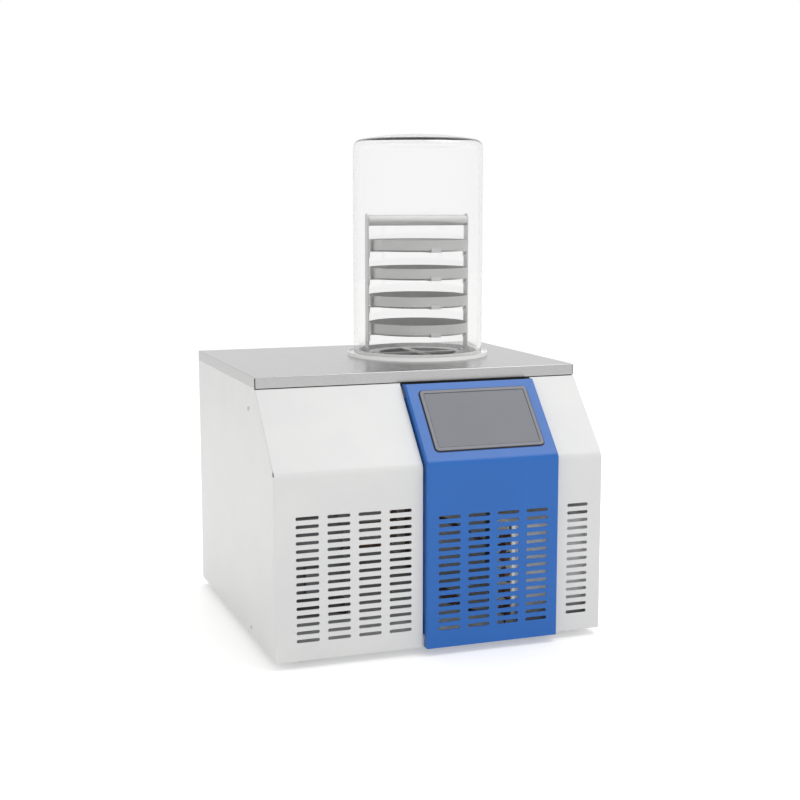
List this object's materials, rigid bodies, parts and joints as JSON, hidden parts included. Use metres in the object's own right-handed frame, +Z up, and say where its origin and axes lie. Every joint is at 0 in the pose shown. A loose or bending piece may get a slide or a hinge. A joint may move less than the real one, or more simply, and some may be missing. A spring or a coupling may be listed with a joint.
{
  "type": "freeze dryer",
  "caption": "Bench-top freeze dryer: slotted sheet-metal cabinet with a sloping touch screen, and a clear bell chamber over a rack of round trays.",
  "frame": {"origin": "centre of the bounding box at its base, under the rubber feet", "axes": "+Z up, -Y towards the front with the screen, +X to the right seen from the front"},
  "size_m": [0.619, 0.651, 0.923],
  "materials": {
    "white_paint": "semi-gloss powder coat, white",
    "blue_paint": "semi-gloss powder coat, blue",
    "plate_steel": "fine brushed stainless sheet",
    "grey_paint": "semi-gloss powder coat, white",
    "galvanised_sheet": "zinc-coated steel sheet",
    "black_rubber": "moulded black rubber",
    "grey_plastic": "satin grey plastic",
    "screen_pane": "dark touch-screen glass",
    "black_plastic": "satin black plastic",
    "clear_acrylic": "clear polished acrylic",
    "white_silicone": "white silicone rubber",
    "trap_steel": "spun stainless steel",
    "foam": "rigid polyurethane foam",
    "tray_steel": "brushed stainless steel",
    "rack_steel": "brushed stainless strip",
    "compressor_paint": "gloss black enamel",
    "fin_aluminium": "bare aluminium fins",
    "copper": "bare copper",
    "port_steel": "turned stainless steel",
    "nickel_brass": "nickel-plated brass",
    "screw_steel": "plain stainless steel"
  },
  "bodies": {
    "cabinet": {"base_pan": "galvanised_sheet", "chamber_seal": "white_silicone", "cold_trap": "trap_steel", "compressor": "compressor_paint", "compressor_mounts": "black_rubber", "condenser": "fin_aluminium", "discharge_pipe": "copper", "drain_tube": "port_steel", "drain_valve": "nickel_brass", "drying_chamber": "clear_acrylic", "electrical_box": "galvanised_sheet", "evaporator_jacket": "trap_steel", "fan_motor": "black_plastic", "fan_shroud": "galvanised_sheet", "feet": "black_rubber", "filter_drier": "copper", "frame_post_left": "galvanised_sheet", "frame_post_right": "galvanised_sheet", "front_cover": "blue_paint", "liquid_pipe": "copper", "power_inlet": "black_plastic", "pump_outlet": "black_plastic", "rack_base": "rack_steel", "rack_handle": "rack_steel", "rack_screws": "rack_steel", "rack_upright_left": "rack_steel", "rack_upright_right": "rack_steel", "rear_panel": "grey_paint", "rear_screws": "screw_steel", "screen_bezel": "grey_plastic", "screen_glass": "screen_pane", "screen_housing": "black_plastic", "shelf_support_1": "rack_steel", "shelf_support_2": "rack_steel", "shelf_support_3": "rack_steel", "shelf_support_4": "rack_steel", "side_screws": "screw_steel", "side_shell_left": "white_paint", "side_shell_right": "white_paint", "suction_pipe": "copper", "switch_frame": "black_plastic", "top_plate": "plate_steel", "trap_feed_pipe": "copper", "trap_insulation": "foam", "tray_1": "tray_steel", "tray_2": "tray_steel", "tray_3": "tray_steel", "tray_4": "tray_steel", "vacuum_port": "port_steel", "vent_valve": "nickel_brass"},
    "fan": {"fan_rotor": "black_plastic"},
    "rocker": {"switch_rocker": "black_plastic"},
    "lever": {"drain_lever": "black_plastic"},
    "knob": {"vent_knob": "black_plastic"}
  },
  "joints": [
    {"name": "fan_spin", "type": "hinge", "parent": "cabinet", "child": "fan", "pos_m": [0.215, -0.223, 0.1192], "axis": [0, 1, 0], "continuous": true},
    {"name": "rocker_tip", "type": "hinge", "parent": "cabinet", "child": "rocker", "pos_m": [0.11, 0.2815, 0.094], "axis": [1, 0, 0], "range_deg": [-16, 0]},
    {"name": "lever_turn", "type": "hinge", "parent": "cabinet", "child": "lever", "pos_m": [0.092, 0.2965, 0.2175], "axis": [0, 0, 1], "range_deg": [0, 90]},
    {"name": "knob_turn", "type": "hinge", "parent": "cabinet", "child": "knob", "pos_m": [0.148, 0.3055, 0.4425], "axis": [0, 1, 0], "range_deg": [0, 90]}
  ]
}
